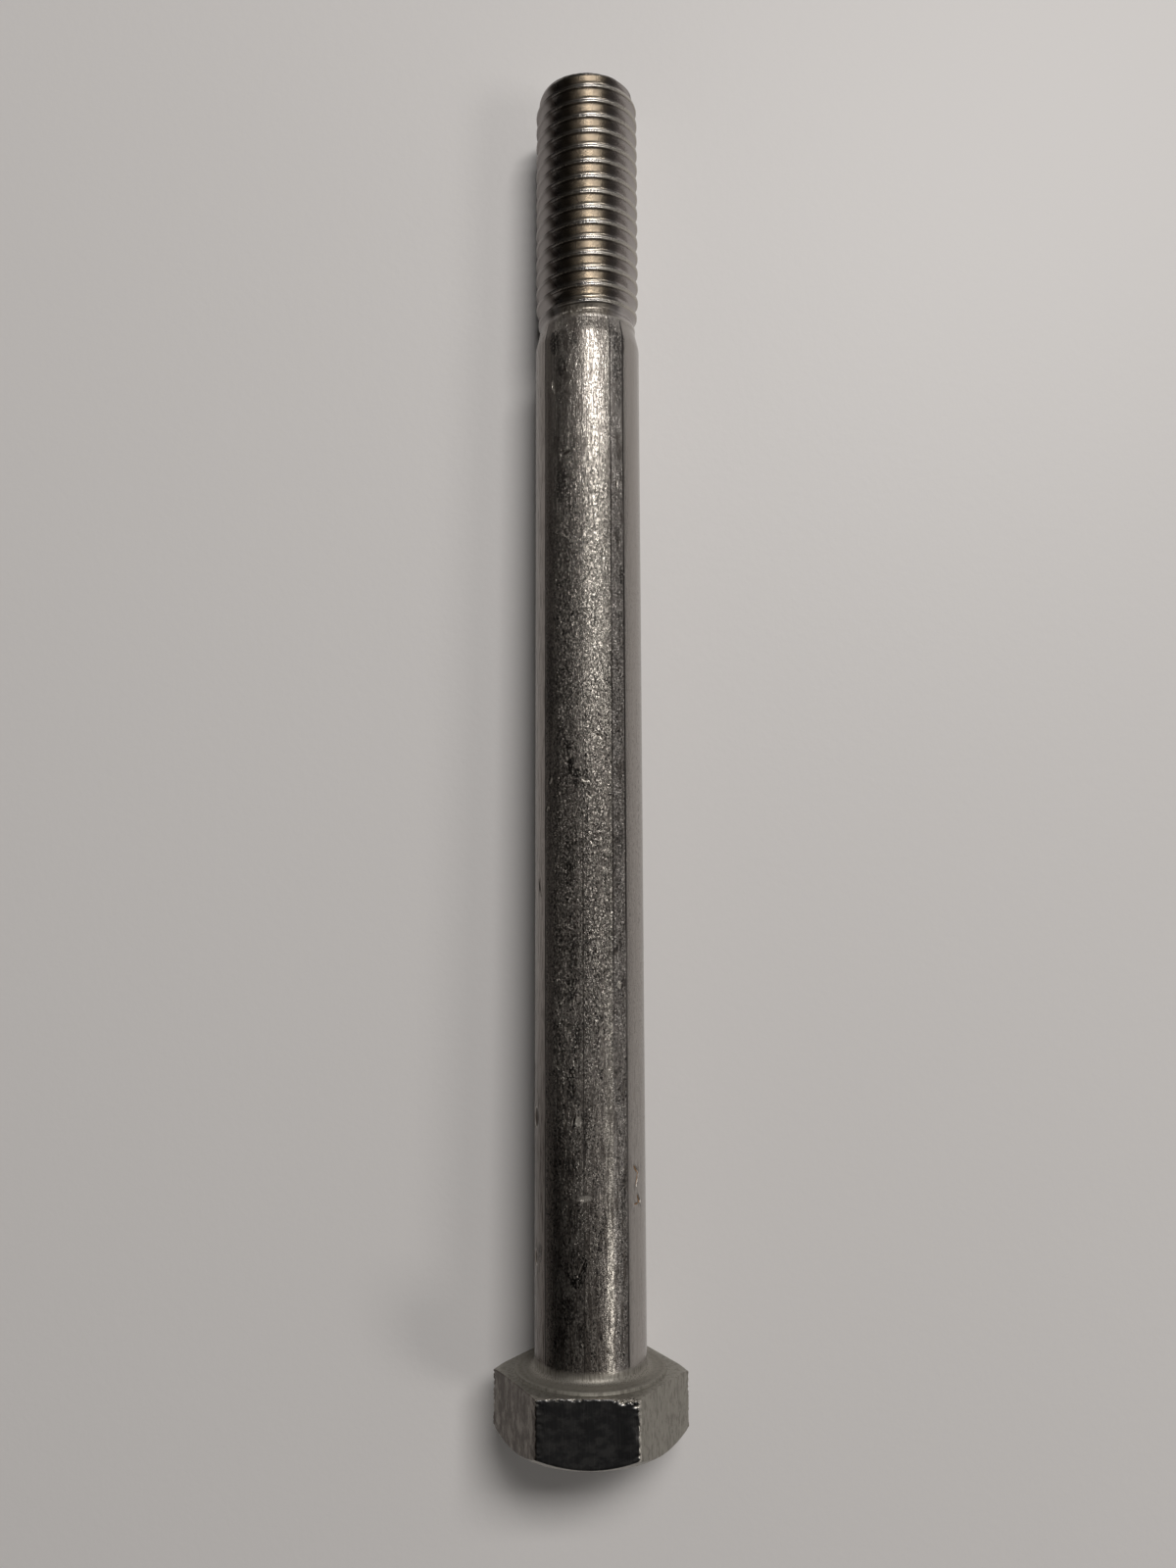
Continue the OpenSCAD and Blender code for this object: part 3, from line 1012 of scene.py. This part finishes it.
    # the thread's crests: a dark seam along their middle and a dark line under their edge, both painted
    # shade, and beads and right sides with painted highlights
    turnsUp = (z - threadSize["lastCrest"]) * (1 / threadSize["pitch"]) - turned * (1 / 360)
    crestAway = (shader.maths("FRACT", turnsUp) - 0.5) * threadSize["pitch"]
    fromCrest = apart(crestAway, 0)
    beads = pattern("beads")
    onTop = within(turned, *spans["threadTop"])
    onCrest = between(fromCrest, 0.27, 0.2)
    # painted shade under each crest's edge and in its seam
    underCrestShade = between(apart(crestAway, -0.26), 0.08, 0.04) * (0.05 + 0.7 * onTop)
    seamShade = between(fromCrest, 0.05, 0.02) * between(fineStreaks, 0.4, 0.55) * onTop
    towardsRight = 0.1 + 0.9 * between(turned, -14, -2)
    # a painted highlight on the crests' right side
    rightCrestHighlight = onThread * onCrest * between(turned, 12, 24)
    # painted shade in the grooves right of the top
    hollow = (1 - onCrest) * within(turned, *spans["threadHollow"])
    # a painted highlight on the beads of the crests towards the right
    beaded = onCrest * towardsRight * between(beads, 0.42, 0.6)
    leftShade = 0.14 * between(turned, -26, -34) + 0.4 * within(turned, -54, -44, -36, -28)
    leftShade = leftShade + 0.35 * within(turned, -58, -50, -44, -38)
    # where the run-out ends there is a fine row of ticks
    ticks = between(apart(z, 121.95), 0.17, 0.09) * between(beads, 0.45, 0.58)
    ticks = ticks * onTop * between(turned, 24, 16)
    neckDirt = between(z, 123, 122.4) * between(specks, 0.6, 0.42) * onTop
    # the thread's colour: warm painted light on top, painted shade in the hollows right of it, left of the
    # top and on the left side
    threadColour = painted(
        shader, shader.mixed(onTop, steelLook["threadSide"], steelLook["warmLitGrooveMetal"]),
        (onCrest * towardsRight, "crestMetal"),
        (0.95 * rightCrestHighlight, "rub"),
        (0.45 * hollow, "stainAndShade"),
        (0.5 * beaded, "rub"),
        (0.6 * between(turned, -14, -24) * onTop, "stainAndShade"),
        (leftShade * between(turned, *spans["underside"]), "stainAndShade"),
        (underCrestShade + 0.7 * seamShade, "stainAndShade"),
        (0.6 * neckDirt, "stainAndShade"),
        (0.8 * ticks, "rub"))
    colour = shader.mixed(onThread, colour, threadColour)
    colour = shader.mixed(tipFace, colour, headColour)

    inGroove = onThread * within(turned, *spans["groove"]) * (1 - onCrest)
    roughness = (
        steelLook["roughness"] + patches * 0.08 + dirtAndShade * 0.2 + onHead * 0.14 - 0.07 * lastPart * onShank
        - 0.03 * lowHighlightBand
        + 0.35 * within(z, -0.4, -0.2, 0.6, 1.4)
        + 0.15 * tipFace
        + 0.03 * inGroove
        + 0.14 * onThread * between(turned, -38, -54) * (1 - tipFace))
    # a thin dull film over the bare metal, thicker near the head
    neckFilm = between(z, *spans["neckFilm"])
    film = (
        0.04
        + 0.06 * between(turned, -36, -20) * (1 - onThread)
        + 0.32 * nearHead * onShank * between(turned, -34, 2)
        + 0.3 * deep * rightSide
        + 0.14 * neckFilm * onShank * between(turned, -48, -38) * notRight
        + 0.14 * between(z, 98, 116) * onShank * within(turned, -32, -18, -4, 6)
        + 0.12 * neckFilm * onShank * between(turned, 8, 16) * notRight
        + 0.22 * onThread * within(turned, *spans["threadFilm"])
        + 0.06 * inGroove + 0.4 * ticks + 0.2 * rightCrestHighlight + 0.16 * rubbed * onShank
        + 0.3 * onThread * between(z, 123.1, 122.8)
        + 0.5 * edgeBeadsAndHighlight * onHead)
    metallic = 1 - film * (1 - onTopFlat) * (1 - tipFace)

    # the relief, which is calm on the smooth sides, in the dents and near both ends
    calm = (1 - 0.3 * nearHead) * (1 - 0.65 * lastPart) * (1 - 0.6 * between(z, 94, 112))
    calm = calm * (1 - 0.85 * smoothSide) * (0.35 + 0.65 * between(turned, -36, -22)) * (1 - 0.75 * pressed)
    calm = calm * (1 + 0.5 * within(z, 24, 34, 58, 72)) * (1 + 0.25 * lowHighlightBand)
    spread = (0.25 + 0.75 * onShank) * (1 - 0.5 * smoothSide) * (1 - 0.4 * lastPart)
    relief = (
        (creases + 0.5 * crinkle) * steelLook["crinkle"] * calm * onShank
        + dashes * steelLook["dashes"] * spread
        + fineStreaks * steelLook["drawn"]
        - scoredLinesAndDarkReflections * steelLook["scored"]
        + onThread * onCrest * (1 - tipFace) * beads * steelLook["beaded"])
    bump = shader.node("Bump", {}, {"Strength": 1.0, "Distance": 1.0, "Height": relief})
    sockets = {"Base Color": colour, "Metallic": metallic, "Roughness": roughness, "Normal": bump}
    return shader.finish(sockets)


sheetLook = {
    "colour": (0.8, 0.78, 0.77, 1),
    "roughness": 0.5,
    "grain": (900, 2, 0.6),
    "relief": 0.00006,
    "strength": 0.3,
}


def makeSheet():
    shader = Shader("paleSheet")
    grain = shader.noise(shader.node("TexCoord", {}, {}, "Object"), *sheetLook["grain"])
    sockets = {"Strength": sheetLook["strength"], "Distance": sheetLook["relief"], "Height": grain}
    bump = shader.node("Bump", {}, sockets)
    sockets = {"Base Color": sheetLook["colour"], "Roughness": sheetLook["roughness"], "Normal": bump}
    return shader.finish(sockets)


screw.data.materials.clear()
screw.data.materials.append(makeSteel())
paper.data.materials.append(makeSheet())

bpy.context.scene.view_settings.view_transform = "Standard"
print("stage: light")
